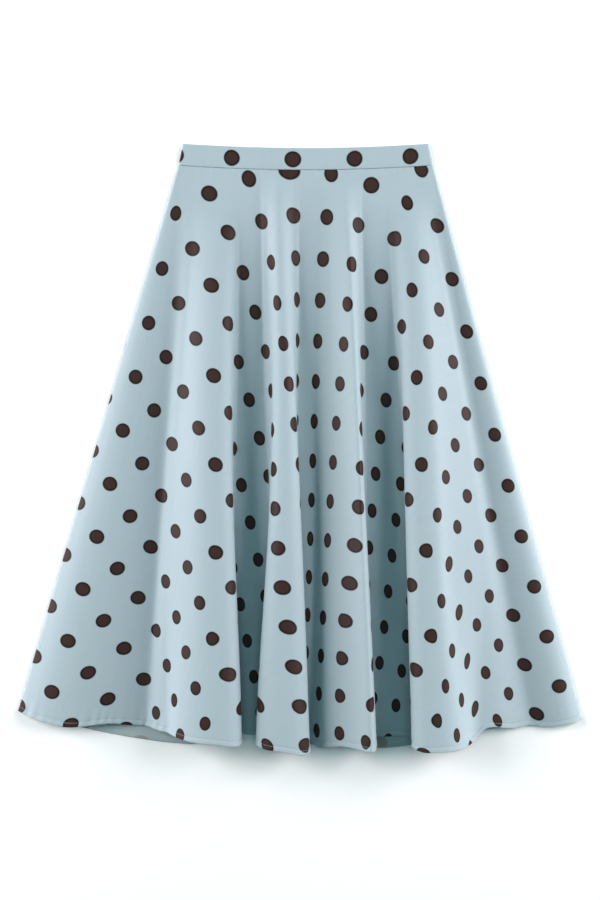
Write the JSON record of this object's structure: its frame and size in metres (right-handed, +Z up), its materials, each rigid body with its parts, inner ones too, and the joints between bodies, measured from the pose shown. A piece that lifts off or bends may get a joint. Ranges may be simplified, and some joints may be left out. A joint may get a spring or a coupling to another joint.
{
  "type": "a-line midi skirt",
  "caption": "A-line midi skirt laid out flat, cut as a half circle, with a plain waistband, soft standing flutes and a dotted print.",
  "frame": {"origin": "on the surface that the skirt lies on, under the middle of its outline", "axes": "+Y from the hem to the waist, +X to the viewer's right, +Z up out of the surface, the way the front faces"},
  "size_m": [0.7435, 0.7993, 0.0587],
  "materials": {
    "dotted_cloth": "soft satin-faced woven cloth, pale blue with dark brown round dots",
    "band_cloth": "the same cloth, doubled over a stiffener and pressed flat",
    "zip_coil": "fine nylon coil dyed to match the cloth",
    "zip_slider": "small enamelled slider with a drop pull"
  },
  "bodies": {
    "root": {"skirt_front": "dotted_cloth", "skirt_back": "dotted_cloth", "waistband_front": "band_cloth", "waistband_back": "band_cloth", "zip_coil": "zip_coil", "zip_slider": "zip_slider"}
  },
  "joints": []
}
